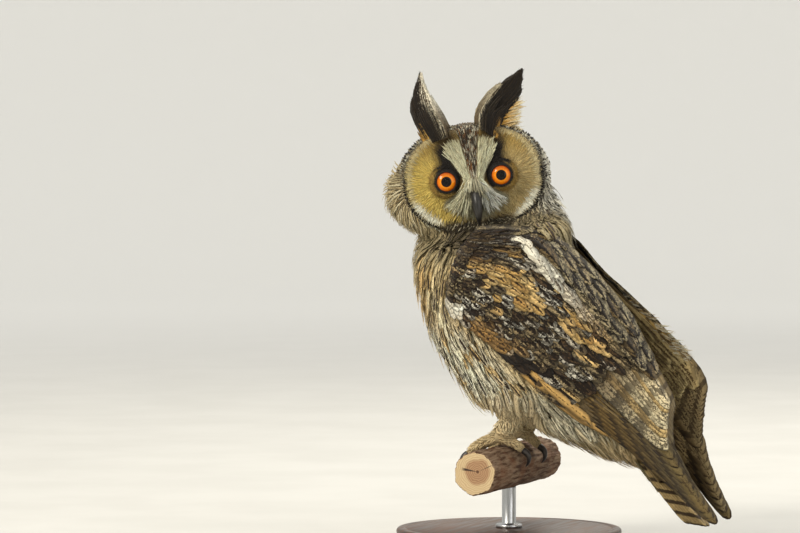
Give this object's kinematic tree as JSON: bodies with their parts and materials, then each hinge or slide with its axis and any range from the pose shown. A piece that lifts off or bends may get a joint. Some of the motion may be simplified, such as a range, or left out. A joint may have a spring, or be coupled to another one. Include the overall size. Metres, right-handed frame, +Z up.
{
  "type": "long-eared owl on a branch, on a display stand",
  "caption": "Life-size long-eared owl that grips a short branch and looks back over its shoulder, held by a round flat display stand.",
  "frame": {"origin": "centre of the stand base's underside, on the floor", "axes": "+Z up; the owl's body faces -Y and its left side is +X; its head is turned over its left shoulder, to face +X"},
  "size_m": [0.16, 0.2452, 0.3355],
  "materials": {
    "face_feathers": "soft, ochre-buff",
    "body_feathers": "soft, buff and whitish with dark streaks",
    "flight_feathers": "soft sheen, dark brown mottled and barred with ochre",
    "tuft_feathers": "soft, blackish brown",
    "leg_feathers": "soft, plain pale buff",
    "eye": "wet gloss, orange iris round a black pupil",
    "bill": "satin, dark grey horn",
    "claw": "satin, blackish horn",
    "bark": "rough, furrowed juniper bark",
    "rod_steel": "satin",
    "base_wood": "dark stained, satin"
  },
  "bodies": {
    "root": {"head": "face_feathers", "neck": "body_feathers", "torso": "body_feathers", "tail": "flight_feathers", "wing_left": "flight_feathers", "wing_right": "flight_feathers", "ear_tuft_left": "tuft_feathers", "ear_tuft_right": "tuft_feathers", "eye_left": "eye", "eye_right": "eye", "bill_upper": "bill", "bill_lower": "bill", "thigh_left": "leg_feathers", "thigh_right": "leg_feathers", "tarsus_left": "leg_feathers", "tarsus_right": "leg_feathers", "foot_left": "leg_feathers", "foot_right": "leg_feathers", "claw_left_inner": "claw", "claw_left_middle": "claw", "claw_left_outer": "claw", "claw_left_hind": "claw", "claw_right_inner": "claw", "claw_right_middle": "claw", "claw_right_outer": "claw", "claw_right_hind": "claw", "perch": "bark", "stand_rod": "rod_steel", "stand_base": "base_wood"}
  },
  "joints": []
}
